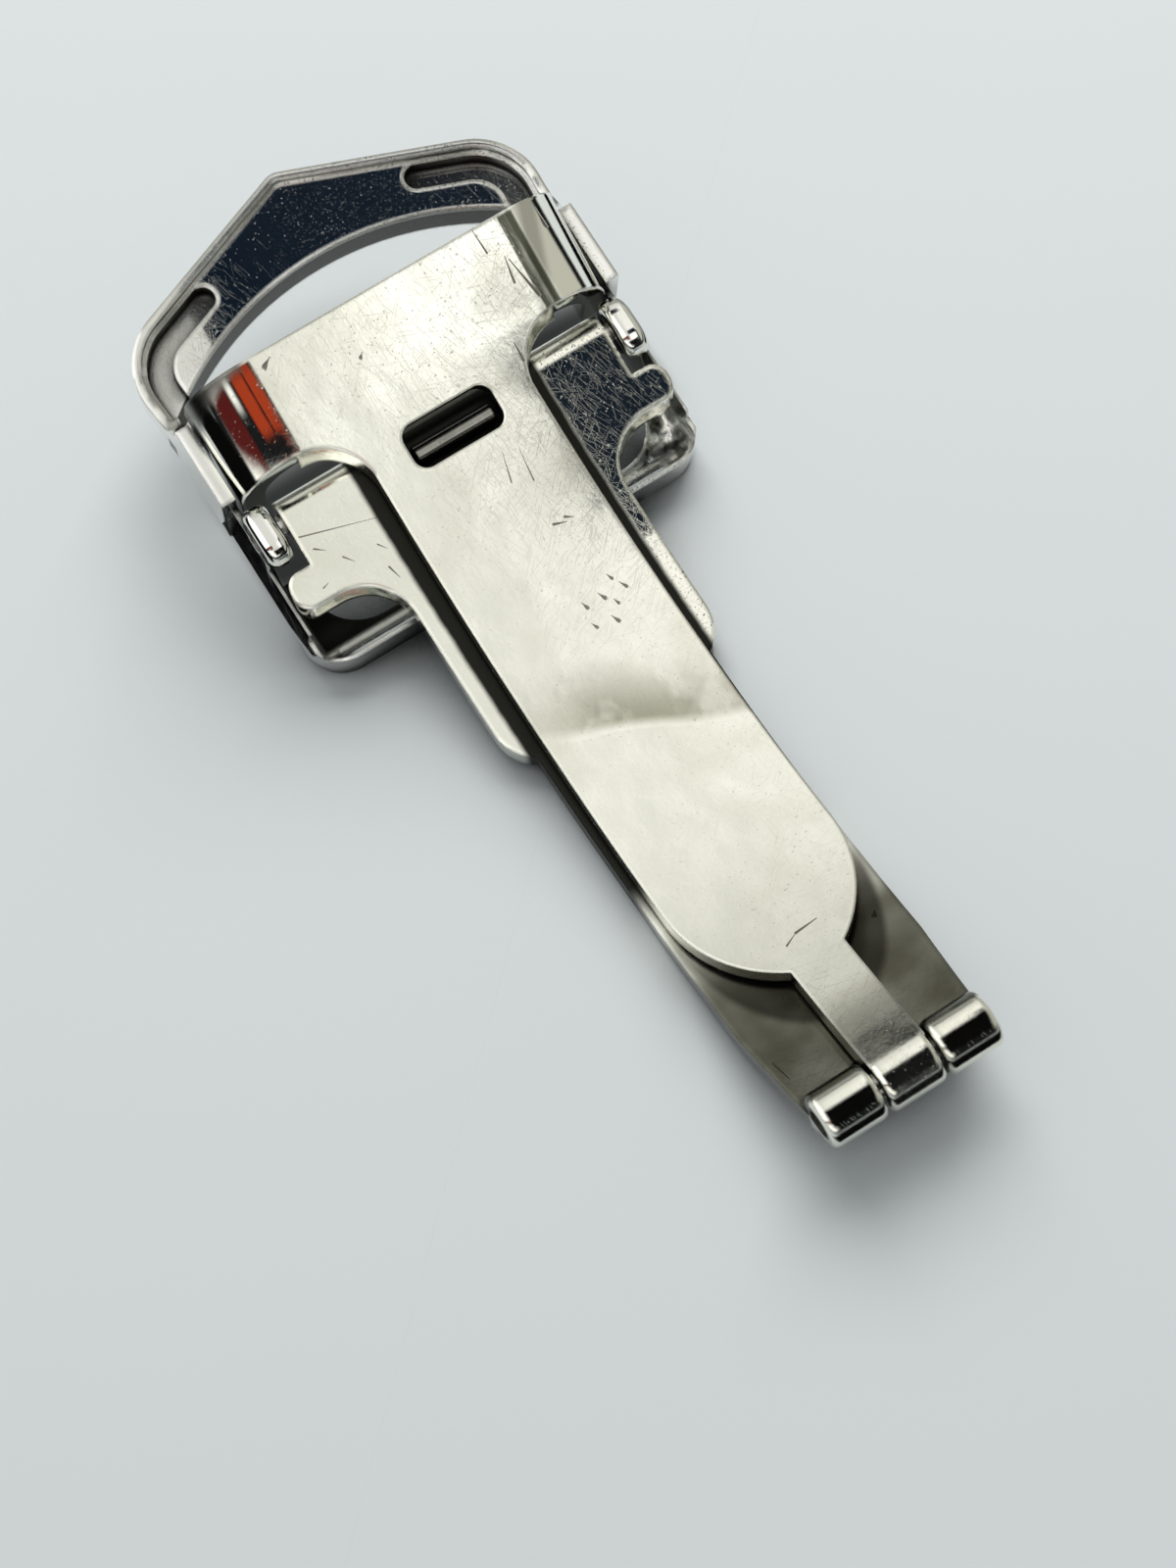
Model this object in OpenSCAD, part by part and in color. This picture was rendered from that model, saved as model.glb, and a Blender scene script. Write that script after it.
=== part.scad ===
// Fold-over clasp for a sixteen millimetre leather watch strap, lying closed on its outer side.
// Millimetres. +X across the clasp, +Y from the hinge towards the arch, +Z up, away from the table.
// The origin is on the table, under the middle of the clasp.

/* [Resting pose] */
// How far the closed clasp is tipped so that it lies on the lower bar and the belly of the outer blade
lie_tilt = 6.8; // [6:0.1:8]
// Height of the hinge axis above the table
lie_lift = 3.66; // [3.5:0.01:5]
// Y of the hinge axis
rest_y = -24.23; // [-26:0.01:-22]

/* [Blades] */
// Radius of the wrist-side face of the inner blade
blade_r = 38.5; // [30:0.5:60]
// Thickness of the inner blade
inner_t = 1.1; // [0.8:0.05:1.6]
// Gap between the closed blades
blade_gap = 0.3; // [0.2:0.05:0.6]
// Thickness of the outer blade
outer_t = 1.0; // [0.8:0.05:1.6]
// Width of the inner blade beside the T-shaped head
blade_w_head = 7.65; // [6:0.1:10]
// Widest width of the inner blade
blade_w = 7.95; // [6:0.1:10]
// Y of the place where the inner blade narrows to its neck, from the middle of the arc
neck_y = -12.15; // [-16:0.05:-8]
// Width of the neck
neck_w = 2.5; // [2:0.1:4]
// Radius of the two curves that close the blade to the neck
spoon_r = 5.85; // [4.5:0.05:8]
// Width of the outer blade
outer_w = 8.55; // [8:0.05:10]

/* [Main hinge] */
// Y of the hinge axis, from the middle of the arc
hinge_y = -18.05; // [-22:0.1:-15]
// Gap between neighbouring knuckles
knuckle_gap = 0.12; // [0.05:0.01:0.3]
// Width over all three knuckles
hinge_w = 7.8; // [6:0.1:10]
// Rounding of the ends of the knuckles
knuckle_edge = 0.3; // [0.1:0.05:0.4]
// Diameter of the hinge pin
hinge_pin_d = 1.1; // [0.8:0.05:1.4]
// Running clearance of each pin in its bore, on the radius
pin_clear = 0.03; // [0.01:0.01:0.1]

/* [Head] */
// Width over the cheeks of the head
head_w = 18; // [16:0.1:24]
// Length of the head along the blade
head_l = 4.4; // [3:0.1:7]
// Y of the near edge of the head
head_y = 17.1; // [14:0.1:22]
// Outside radius of the bend from the top to each cheek
bend_r = 2.7; // [1.5:0.1:3.5]
// Depth of the cheeks below the top of the head
cheek_d = 4.3; // [3.5:0.1:6]
// Lean of the near ends of the cheeks
near_lean = 12; // [0:1:30]
// Lean of the far ends of the cheeks
far_lean = 20; // [0:1:35]
// Fillet between the head and the blade
head_fillet = 2.4; // [1:0.1:4]
// Length of the catch slot across the blade
slot_w = 4.3; // [3:0.1:6]
// Width of the catch slot along the blade
slot_l = 2.0; // [1.2:0.1:3]
// Corner radius of the catch slot
slot_r = 0.6; // [0.2:0.05:0.9]
// Y of the middle of the catch slot
slot_y = 15.06; // [12:0.01:18]

/* [Spring bar] */
// Depth of the spring bar below the top of the head
bar_depth = 3.2; // [2.5:0.1:4.5]
// Diameter of the spring bar tube
bar_d = 1.5; // [1.2:0.1:2]
// Diameter of the bar's tips
tip_d = 0.8; // [0.6:0.05:1]
// Gap between the end of the tube and the cheek
bar_end_gap = 0.06; // [0.02:0.01:0.2]
// Turns of the coil inside the tube
coil_turns = 14; // [8:1:20]
// Diameter of the coil's wire
wire_d = 0.18; // [0.12:0.01:0.24]

/* [Wing plate] */
// How far each finger hook stands out past the side of the head
hook_out = 0.3; // [0:0.05:0.4]
// How far each side of the plate beside the ears lies inside the side of the head
plate_in = 1.05; // [0.9:0.05:1.5]
// Y of the far edge of the hooks
notch_y = 13.9; // [11:0.05:16]
// Y of the near edge of the hooks
hook_y = 12.35; // [10:0.05:15]
// Radius of the hook tips
hook_tip_r = 0.68; // [0.3:0.01:0.9]
// Width of the waist between the hooks and the shoulder
waist_w = 10.5; // [9:0.1:14]
// Radius of the concave curve from the waist to the hooks
waist_r = 2.3; // [1:0.1:4]
// Y of the end of the shoulder
shoulder_y = 1.9; // [-3:0.1:6]
// Radius of the shoulder
shoulder_r = 2.2; // [0.8:0.1:4]

/* [Frame pivot] */
// Y of the pivot axis, from the middle of the arc
pivot_y = 16.2; // [13:0.1:19]
// Outside radius of the barrel under the end of the wing plate
barrel_r = 1.0; // [0.8:0.05:1.4]
// Outside radius of the ears of the frame
ear_r = 1.22; // [0.9:0.01:1.6]
// Width of each ear
ear_t = 1.1; // [0.9:0.05:1.2]
// Rounding of the two faces of each ear
ear_edge = 0.4; // [0.2:0.05:0.42]
// Gap between the wing plate and each ear
ear_gap = 0.3; // [0.15:0.01:0.4]
// Diameter of the frame pin
frame_pin_d = 0.9; // [0.7:0.05:1.2]

/* [Cover frame] */
// Slope of the frame along the closed clasp
frame_slope = 10.4; // [8:0.1:12]
// Depth of the outer face below the pivot axis
frame_d = 3.9; // [3.6:0.1:4.5]
// Width of the bevels along the sides of the outer face
bevel_w = 0.6; // [0.3:0.05:1]
// Angle of those bevels to the outer face
bevel_a = 35; // [20:1:50]
// Gap between the head's cheeks and the rim
rim_gap = 0.16; // [0.1:0.01:0.2]
// Width of the rim beside the head
rim_w = 0.65; // [0.5:0.05:0.8]
// Height of the rim above the pivot axis beside the head
rim_h = 0.8; // [0.5:0.05:1.2]
// How far the arch stands out past the rim on each side
arch_out = 0.2; // [0.05:0.05:0.4]
// Distance from the pivot axis to the near end of the rim
rim_near = 1.75; // [1.6:0.05:2]
// Distance from the pivot axis to where the rim begins to fall
rim_end = 5.6; // [5:0.1:6]
// Radius of the sweep by which the rim falls to the arch
rim_sweep_r = 2.65; // [2.65:0.05:3]
// How far the top of each side wall stands out past the ear
wall_out = 0.1; // [0.05:0.01:0.3]
// Lean of the outer faces of the side walls
wall_lean = 5.5; // [3:0.5:8]
// Depth of the top of the side walls below the pivot axis
wall_d = 0.77; // [0.7:0.01:0.9]
// Depth of the top of the side walls beside the ears
web_d = 0.3; // [0.2:0.05:0.5]
// Distance from the pivot axis to the near end of the side walls
wall_l = 4.5; // [4:0.1:4.8]
// Distance from the pivot axis to the lower edge
low_l = 6.1; // [5.9:0.1:6.5]
// Radius of the two corners of the lower bar
frame_low_r = 1.9; // [1.5:0.1:2.2]
// Distance from the pivot axis to the inner edge of the lower bar
bar_in_l = 4.8; // [4.6:0.1:5]
// Radius of the window's two lower corners
window_r = 2.3; // [1.5:0.1:3]
// Radius of the trough along the lower bar
trough_r = 2.75; // [2.65:0.05:2.85]
// Height of the trough's axis below the pivot axis
trough_d = 0.1; // [0:0.05:0.2]
// Distance of the trough's axis from the lower edge
trough_l = 2.35; // [2.2:0.05:2.5]
// Distance from the pivot axis to the peak of the arch
peak_l = 14.5; // [14:0.1:16]
// Slope of the two outer edges of the arch
arch_slope = 21; // [15:1:25]
// Radius of the two corners of the arch
frame_high_r = 3.2; // [2.8:0.1:3.6]
// Rounding of the peak
peak_r = 0.9; // [0.5:0.1:1.5]
// Radius of the inner edge of the arch
arch_in_r = 14.2; // [12:0.1:16]
// Distance from the pivot axis to the inner edge of the arch
arch_in_l = 10.3; // [10:0.1:10.6]
// Depth of the back of the arch below the pivot axis
arch_d = 2.1; // [1.8:0.1:2.4]
// Width of the raised lip round the arch
lip_w = 0.4; // [0.3:0.05:0.5]
// Height of the raised lip over the back of the arch
lip_h = 0.35; // [0.2:0.05:0.5]
// Distance of the pockets from the outer edge
pocket_in = 0.6; // [0.5:0.05:0.75]
// Width of the pockets at the corners of the arch
pocket_w = 1.15; // [0.8:0.05:1.3]
// Depth of the pockets at the corners of the arch
pocket_d = 0.8; // [0.4:0.05:1]
// Distance of each pocket's round end from the middle
pocket_x = 5.45; // [5:0.05:6.5]
// Radius of the bays that the head swings through, about the pivot axis
bay_r = 7.15; // [7.1:0.01:7.3]
// How far the bays reach to the near side of the pivot axis
bay_near = 1.75; // [1.6:0.05:2]

/* [Strap post and catch] */
// Y of the strap post
post_y = 13.6; // [13.4:0.1:13.8]
// Diameter of the strap post
post_d = 1.7; // [1.4:0.1:2]
// Length of the strap post below the wing plate
post_l = 2.4; // [2:0.1:2.6]
// Width of the catch across the blade
catch_w = 3.7; // [2.5:0.1:5]
// Thickness of the catch along the blade
catch_t = 0.8; // [0.5:0.05:1.2]
// How far the top of the catch stays below the top of the inner blade
catch_drop = 0.5; // [0.1:0.05:0.8]
// How far the catch stands from the middle of the slot towards the hinge
catch_off = 0.26; // [0:0.01:0.5]

/* [Hidden] */
cut = 0.02;
cap = 1;
join = 0.5;
head_overlap = 1.2;
taper_l = 5;
big = 60;
inner_r2 = blade_r + inner_t;
outer_r1 = inner_r2 + blade_gap;
outer_r2 = outer_r1 + outer_t;
knuckle_r = (outer_r2 - blade_r) / 2;
hinge_ring = blade_r + knuckle_r;
hinge_a = asin(hinge_y / hinge_ring);
hinge_z = blade_r - hinge_ring * cos(hinge_a);
knuckle_mid = (hinge_w - 2 * knuckle_gap) / 3;
head_a = asin(head_y / blade_r);
head_sweep = head_l / blade_r * 180 / PI;
slot_a = asin(slot_y / blade_r);
bar_a = head_a + head_sweep / 2;
bar_ring = blade_r + bar_depth;
tip_bore_r = tip_d / 2 + 0.05;
cheek_in = head_w / 2 - inner_t;
tube_half = cheek_in - bar_end_gap;
crimp_l = 0.6;
tube_bore_r = bar_d / 2 - 0.25;
flange_l = 0.9;
tip_inset = 0.12;
pin_inset = 0.15;
pin_short = 0.05;
foot_clear = 0.01;
catch_foot = 0.3;
rivet_d = post_d - 0.6;
rivet_sunk = 0.06;
coil_clear = 0.05;
hook_w = head_w + 2 * hook_out;
plate_w = head_w - 2 * plate_in;
pivot_ring = outer_r1 + barrel_r;
pivot_a = asin(pivot_y / pivot_ring);
pivot_z = blade_r - pivot_ring * cos(pivot_a);
ear_in = plate_w / 2 + ear_gap;
ear_out = ear_in + ear_t;
rim_in = head_w / 2 + rim_gap;
rim_out = rim_in + rim_w;
wall_foot = ear_out + wall_out + (frame_d - wall_d) * tan(wall_lean);
post_a = asin(post_y / outer_r2);
catch_a = slot_a;
steel = [0.80, 0.79, 0.76];
steel_dark = [0.62, 0.62, 0.60];

// Puts the clasp on the table: moves the hinge axis to its place and tips the clasp about it.
module lie() {
  translate([0, rest_y, lie_lift])
    rotate([lie_tilt, 0, 0])
      translate([0, -hinge_y, -hinge_z])
        children();
}

// Local frame on an arc about the centre of the blades: y along the arc, z towards the wrist.
module on_arc(angle, ring) {
  translate([0, 0, blade_r])
    rotate([angle, 0, 0])
      translate([0, 0, -ring])
        children();
}

// Local frame of the cover frame: y along it towards the peak, z towards the wrist.
module on_frame() {
  translate([0, pivot_y, pivot_z])
    rotate([frame_slope, 0, 0])
      children();
}

// A round bar along X between two places.
module across(r, x1, x2) {
  translate([x1, 0, 0])
    rotate([0, 90, 0])
      cylinder(r = r, h = x2 - x1, $fn = 96);
}

// A round bar along X between two places, with rounded edges at both ends.
module rounded_across(r, x1, x2, edge) {
  l = x2 - x1;
  translate([x1, 0, 0])
    rotate([0, 90, 0])
      rotate_extrude($fn = 96) {
        square([r - edge, l]);
        translate([0, edge])
          square([r, l - 2 * edge]);
        for (y = [edge, l - edge])
          translate([r - edge, y])
            circle(r = edge, $fn = 48);
      }
}

// Solid of a side outline, whose x is Y and whose y is Z, between two places across.
module side_solid(x1, x2) {
  translate([x1, 0, 0])
    rotate([90, 0, 90])
      linear_extrude(x2 - x1)
        children();
}

// A disc about the centre of the blades.
module disc_about_centre(r, half) {
  translate([0, 0, blade_r])
    rotate([0, 90, 0])
      cylinder(r = r, h = 2 * half, center = true, $fn = 360);
}

// One knuckle between two places across.
module knuckle(x1, x2) {
  on_arc(hinge_a, hinge_ring)
    rounded_across(knuckle_r, x1, x2, knuckle_edge);
}

// Outline of the inner blade from above: neck, spoon-shaped blade and the fillets to the head.
module blade_outline() {
  spoon_off = spoon_r - blade_w / 2;
  centre_y = neck_y + sqrt(pow(spoon_r, 2) - pow(spoon_off + neck_w / 2, 2));
  translate([-neck_w / 2, hinge_y])
    square([neck_w, neck_y - hinge_y + 2 * cap]);
  intersection() {
    translate([-spoon_off, centre_y])
      circle(r = spoon_r, $fn = 180);
    translate([spoon_off, centre_y])
      circle(r = spoon_r, $fn = 180);
    translate([-big / 2, neck_y - 1])
      square([big, centre_y - neck_y + 1 + cut]);
  }
  polygon([[-blade_w / 2, centre_y], [blade_w / 2, centre_y], [blade_w_head / 2, head_y + head_overlap],
    [-blade_w_head / 2, head_y + head_overlap]]);
  difference() {
    translate([-blade_w_head / 2 - head_fillet, head_y - head_fillet])
      square([blade_w_head + 2 * head_fillet, head_fillet + head_overlap]);
    for (side = [-1, 1])
      translate([side * (blade_w_head / 2 + head_fillet), head_y - head_fillet])
        circle(r = head_fillet, $fn = 96);
  }
}

// Section of the head across the clasp, as an outline whose y is the distance from the centre.
module head_section() {
  flat = head_w / 2 - bend_r;
  difference() {
    union() {
      translate([blade_r, -flat])
        square([cheek_d, 2 * flat]);
      translate([blade_r + bend_r, -head_w / 2])
        square([cheek_d - bend_r, head_w]);
      for (side = [-1, 1])
        translate([blade_r + bend_r, side * flat])
          circle(r = bend_r, $fn = 96);
    }
    translate([inner_r2, -flat])
      square([cheek_d, 2 * flat]);
    translate([blade_r + bend_r, -cheek_in])
      square([cheek_d, 2 * cheek_in]);
    for (side = [-1, 1])
      translate([blade_r + bend_r, side * flat])
        circle(r = bend_r - inner_t, $fn = 96);
    translate([blade_r + cheek_d, -head_w])
      square([cheek_d, 2 * head_w]);
  }
}

// The head's section carried round the centre of the blades, from one angle over a sweep.
module head_ring(angle, sweep) {
  translate([0, 0, blade_r])
    rotate([angle - 90, 0, 0])
      rotate([90, 0, 90])
        rotate_extrude(angle = sweep, $fn = 360)
          head_section();
}

// Side outline of the head's two ends: the near one stands steeper than the far one.
module head_ends_outline() {
  top = 4;
  low = 9;
  near_z = blade_r - sqrt(blade_r * blade_r - head_y * head_y);
  far_y = blade_r * sin(head_a + head_sweep);
  far_z = blade_r - blade_r * cos(head_a + head_sweep);
  polygon([[head_y - top * tan(near_lean), near_z + top], [head_y + low * tan(near_lean), near_z - low],
    [far_y + low * tan(far_lean), far_z - low], [far_y - top * tan(far_lean), far_z + top]]);
}

// Side outline of the wedge between two angles about the centre of the blades.
module wedge_outline(a1, a2) {
  reach = 60;
  translate([0, blade_r])
    polygon([[0, 0], [reach * sin(a1), -reach * cos(a1)], [reach * sin(a2), -reach * cos(a2)]]);
}

module inner_blade() {
  color(steel)
    lie()
      difference() {
        union() {
          intersection() {
            head_ring(hinge_a, head_a + head_sweep + 3 - hinge_a);
            union() {
              translate([0, 0, -big / 2])
                linear_extrude(big)
                  blade_outline();
              side_solid(-head_w / 2 - cap, head_w / 2 + cap)
                head_ends_outline();
            }
          }
          knuckle(-knuckle_mid / 2, knuckle_mid / 2);
        }
        on_arc(hinge_a, hinge_ring)
          across(hinge_pin_d / 2 + pin_clear, -big / 2, big / 2);
        on_arc(slot_a, blade_r)
          translate([0, 0, -inner_t - cap])
            linear_extrude(inner_t + 2 * cap)
              slot_outline();
        on_arc(bar_a, bar_ring)
          across(tip_bore_r, -big / 2, big / 2);
      }
}

module slot_outline() {
  half_x = slot_w / 2 - slot_r;
  half_y = slot_l / 2 - slot_r;
  translate([-slot_w / 2, -half_y])
    square([slot_w, 2 * half_y]);
  translate([-half_x, -slot_l / 2])
    square([2 * half_x, slot_l]);
  for (sx = [-1, 1], sy = [-1, 1])
    translate([sx * half_x, sy * half_y])
      circle(r = slot_r, $fn = 48);
}

// Outline of the outer blade from above: blade, shoulder, waist, hooks, notches and plate.
module outer_outline() {
  hook_l = notch_y - hook_y;
  tip_x = hook_w / 2 - hook_tip_r;
  difference() {
    union() {
      polygon([[-hinge_w / 2, hinge_y], [hinge_w / 2, hinge_y], [outer_w / 2, hinge_y + taper_l],
        [outer_w / 2, shoulder_y + shoulder_r + cap], [-outer_w / 2, shoulder_y + shoulder_r + cap],
        [-outer_w / 2, hinge_y + taper_l]]);
      translate([-waist_w / 2, shoulder_y + shoulder_r])
        square([waist_w, hook_y - shoulder_y - shoulder_r + join]);
      intersection() {
        translate([-waist_w / 2, shoulder_y - 1])
          square([waist_w, shoulder_r + 2]);
        union() {
          for (side = [-1, 1])
            translate([side * (waist_w / 2 - shoulder_r), shoulder_y + shoulder_r])
              circle(r = shoulder_r, $fn = 96);
          translate([-waist_w / 2 + shoulder_r, shoulder_y])
            square([waist_w - 2 * shoulder_r, shoulder_r + 1]);
        }
      }
      translate([-waist_w / 2 - waist_r, hook_y - waist_r])
        square([waist_w + 2 * waist_r, waist_r + join]);
      translate([-tip_x, hook_y])
        square([2 * tip_x, hook_l]);
      for (side = [-1, 1]) {
        translate([side * tip_x, hook_y + hook_tip_r])
          circle(r = hook_tip_r, $fn = 48);
        translate([side * tip_x - hook_tip_r, hook_y + hook_tip_r])
          square([2 * hook_tip_r, hook_l - 2 * hook_tip_r]);
        translate([side * tip_x, notch_y - hook_tip_r])
          circle(r = hook_tip_r, $fn = 48);
      }
      translate([-plate_w / 2, notch_y - join])
        square([plate_w, pivot_y + 2 * cap - notch_y]);
    }
    for (side = [-1, 1]) {
      translate([side * (waist_w / 2 + waist_r), hook_y - waist_r])
        circle(r = waist_r, $fn = 96);
    }
  }
}

module outer_blade() {
  notch_r = knuckle_r * 1.45;
  fillet_r = 0.5;
  top = outer_r1 - hinge_ring;
  fillet_y = sqrt(pow(knuckle_r + fillet_r, 2) - pow(fillet_r - top, 2));
  color(steel)
    lie()
      difference() {
        union() {
          intersection() {
            difference() {
              disc_about_centre(outer_r2, hook_w / 2 + cap);
              disc_about_centre(outer_r1, hook_w / 2 + 2 * cap);
            }
            translate([0, 0, -big / 2])
              linear_extrude(big)
                outer_outline();
            side_solid(-hook_w, hook_w)
              wedge_outline(hinge_a, pivot_a);
          }
          on_arc(pivot_a, pivot_ring)
            across(barrel_r, -plate_w / 2, plate_w / 2);
          knuckle(-hinge_w / 2, -knuckle_mid / 2 - knuckle_gap);
          knuckle(knuckle_mid / 2 + knuckle_gap, hinge_w / 2);
          on_arc(hinge_a, hinge_ring)
            difference() {
              side_solid(-hinge_w / 2, hinge_w / 2)
                polygon([[0, -top - 0.3], [fillet_y, -top - 0.3], [fillet_y, fillet_r - top],
                  [fillet_y * knuckle_r / (knuckle_r + fillet_r),
                  (fillet_r - top) * knuckle_r / (knuckle_r + fillet_r)], [0, 0]]);
              translate([0, fillet_y, fillet_r - top])
                across(fillet_r, -hinge_w, hinge_w);
            }
        }
        on_arc(hinge_a, hinge_ring)
          across(notch_r, -knuckle_mid / 2 - knuckle_gap, knuckle_mid / 2 + knuckle_gap);
        on_arc(hinge_a, hinge_ring)
          across(hinge_pin_d / 2 + pin_clear, -big / 2, big / 2);
        on_arc(pivot_a, pivot_ring)
          across(frame_pin_d / 2 + pin_clear, -big / 2, big / 2);
        on_arc(catch_a, outer_r1)
          catch_base(foot_clear);
        on_arc(post_a, outer_r2)
          translate([0, 0, -cap])
            cylinder(d = rivet_d + 2 * foot_clear, h = outer_t + 2 * cap, $fn = 64);
      }
}

// The catch's shallow foot, let into the top of the barrel.
module catch_base(clear) {
  translate([-catch_w / 2 - clear, -catch_off - catch_t / 2 - clear, -catch_foot - clear])
    cube([catch_w + 2 * clear, catch_t + 2 * clear, catch_foot + clear + cut]);
}

module catch() {
  height = blade_gap + inner_t - catch_drop;
  color(steel)
    lie()
      on_arc(catch_a, outer_r1)
        union() {
          catch_base(0);
          translate([-catch_w / 2, -catch_off - catch_t / 2, 0])
            cube([catch_w, catch_t, height - catch_t / 2]);
          translate([0, -catch_off, height - catch_t / 2])
            across(catch_t / 2, -catch_w / 2, catch_w / 2);
        }
}

module strap_post() {
  color(steel_dark)
    lie()
      on_arc(post_a, outer_r2)
        union() {
          translate([0, 0, -post_l + post_d / 2])
            cylinder(d = post_d, h = post_l - post_d / 2, $fn = 64);
          translate([0, 0, -post_l + post_d / 2])
            sphere(d = post_d, $fn = 64);
          cylinder(d = rivet_d, h = outer_t - rivet_sunk, $fn = 64);
        }
}

module hinge_pin() {
  color(steel_dark)
    lie()
      on_arc(hinge_a, hinge_ring)
        across(hinge_pin_d / 2, -hinge_w / 2 + pin_inset, hinge_w / 2 - pin_inset);
}

module frame_pin() {
  color(steel_dark)
    lie()
      on_arc(pivot_a, pivot_ring)
        across(frame_pin_d / 2, -ear_out + pin_short, ear_out - pin_short);
}

// Outline of the whole frame from above, in its own plane, drawn in by an inset all round.
module frame_outline(inset) {
  low_r = frame_low_r - min(inset, frame_low_r / 2);
  high_r = frame_high_r - inset;
  top_r = max(peak_r - inset, 0.1);
  low_x = wall_foot - inset;
  rim_x = rim_out - inset;
  high_x = rim_out + arch_out - inset;
  low_y = -low_l + inset;
  peak_y = peak_l - inset / cos(arch_slope);
  high_y = peak_y - (high_x - high_r) * tan(arch_slope) - high_r / cos(arch_slope);
  edge = [sin(arch_slope), cos(arch_slope)];
  top_y = peak_y - top_r / cos(arch_slope);
  polygon([[-low_x, low_y + low_r], [low_x, low_y + low_r], [rim_x, rim_near], [rim_x, rim_end],
    [high_x, high_y], [-high_x, high_y], [-rim_x, rim_end], [-rim_x, rim_near]]);
  translate([-low_x + low_r, low_y])
    square([2 * (low_x - low_r), 2 * low_r]);
  for (side = [-1, 1]) {
    translate([side * (low_x - low_r), low_y + low_r])
      circle(r = low_r, $fn = 96);
    translate([side * (high_x - high_r), high_y])
      circle(r = high_r, $fn = 120);
  }
  translate([0, top_y])
    circle(r = top_r, $fn = 64);
  for (side = [-1, 1])
    scale([side, 1])
      polygon([[0, high_y], [high_x - high_r, high_y], [high_x - high_r, high_y] + high_r * edge,
        [0, top_y] + top_r * edge, [0, top_y]]);
}

// Outline of the window of the frame.
module window_outline() {
  intersection() {
    translate([0, arch_in_l - arch_in_r])
      circle(r = arch_in_r, $fn = 240);
    union() {
      translate([-ear_in, -bar_in_l + window_r])
        square([2 * ear_in, bar_in_l + peak_l]);
      translate([-ear_in + window_r, -bar_in_l])
        square([2 * (ear_in - window_r), bar_in_l + peak_l]);
      for (side = [-1, 1])
        translate([side * (ear_in - window_r), -bar_in_l + window_r])
          circle(r = window_r, $fn = 96);
    }
  }
}

// Side outline of the frame: the height of its bar, side walls, rims and arch along its length.
module frame_side() {
  lip_z = lip_h - arch_d;
  low = frame_d + cap;
  difference() {
    union() {
      translate([-low_l, -low])
        square([low_l + peak_l, low + lip_z]);
      translate([-wall_l, -low])
        square([wall_l + rim_near, low - wall_d]);
      translate([-ear_r, -low])
        square([ear_r + rim_near, low - web_d]);
      translate([rim_near, -low])
        square([rim_end + rim_sweep_r - rim_near, low + rim_h]);
    }
    translate([rim_end + rim_sweep_r, rim_h])
      circle(r = rim_sweep_r, $fn = 120);
  }
}

// Pockets just inside the lip, round the corners of the arch.
module pocket_outline() {
  end_y = peak_l - (pocket_in + pocket_w / 2) / cos(arch_slope) - pocket_x * tan(arch_slope);
  for (side = [-1, 1]) {
    intersection() {
      difference() {
        frame_outline(pocket_in);
        frame_outline(pocket_in + pocket_w);
      }
      translate([side > 0 ? pocket_x : -rim_out - cap, bay_r - pocket_w / 2])
        square([rim_out + cap - pocket_x, peak_l - bay_r]);
    }
    translate([side * pocket_x, end_y])
      circle(r = pocket_w / 2, $fn = 48);
  }
}

// The ring of the frame without its ears.
module frame_ring() {
  arch_y = rim_end + rim_sweep_r / 2;
  difference() {
    intersection() {
      translate([0, 0, -frame_d])
        linear_extrude(frame_d + rim_h + cap)
          frame_outline(0);
      side_solid(-rim_out - cap, rim_out + cap)
        frame_side();
    }
    translate([0, 0, -frame_d - cap])
      linear_extrude(frame_d + rim_h + 2 * cap)
        window_outline();
    // the back of the arch lies below its lip
    intersection() {
      translate([0, 0, -arch_d])
        linear_extrude(arch_d + rim_h + cap)
          frame_outline(lip_w);
      translate([-rim_out - cap, arch_y, -frame_d])
        cube([2 * (rim_out + cap), peak_l, frame_d + rim_h + cap]);
    }
    translate([0, 0, -arch_d - pocket_d])
      linear_extrude(pocket_d + lip_h)
        pocket_outline();
    // bays for the cheeks: the head stays clear of the frame however far either has turned
    intersection() {
      across(bay_r, -rim_in, rim_in);
      translate([-rim_out, -bay_near, -frame_d - cap])
        cube([2 * rim_out, bay_r + bay_near + cap, frame_d + rim_h + 2 * cap]);
    }
    // the leaning outer faces of the side walls
    for (side = [-1, 1])
      scale([side, 1, 1])
        translate([ear_out + wall_out, -low_l - cap, -wall_d])
          rotate([0, -wall_lean, 0])
            translate([0, 0, -2 * frame_d])
              cube([rim_out, low_l + cap + rim_near, 3 * frame_d]);
    // bevels along the two sides of the outer face
    for (side = [-1, 1])
      scale([side, 1, 1])
        translate([wall_foot - bevel_w, -low_l - cap, -frame_d])
          rotate([0, -bevel_a, 0])
            translate([-frame_d, 0, -2 * frame_d])
              cube([3 * frame_d, low_l + peak_l + 2 * cap, 2 * frame_d]);
    // the trough of the lower bar
    translate([0, trough_l - low_l, -trough_d])
      across(trough_r, -ear_out, ear_out);
  }
}

module cover_frame() {
  color(steel)
    lie()
      on_frame()
        difference() {
          union() {
            frame_ring();
            for (side = [-1, 1])
              scale([side, 1, 1])
                rounded_across(ear_r, ear_in, ear_out, ear_edge);
          }
          across(frame_pin_d / 2 + pin_clear, -rim_out, rim_out);
        }
}

module spring_bar_tube() {
  color(steel_dark)
    lie()
      on_arc(bar_a, bar_ring)
        difference() {
          across(bar_d / 2, -tube_half, tube_half);
          across(tube_bore_r, -tube_half + crimp_l, tube_half - crimp_l);
          across(tip_d / 2 + pin_clear, -tube_half - cap, tube_half + cap);
        }
}

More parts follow.
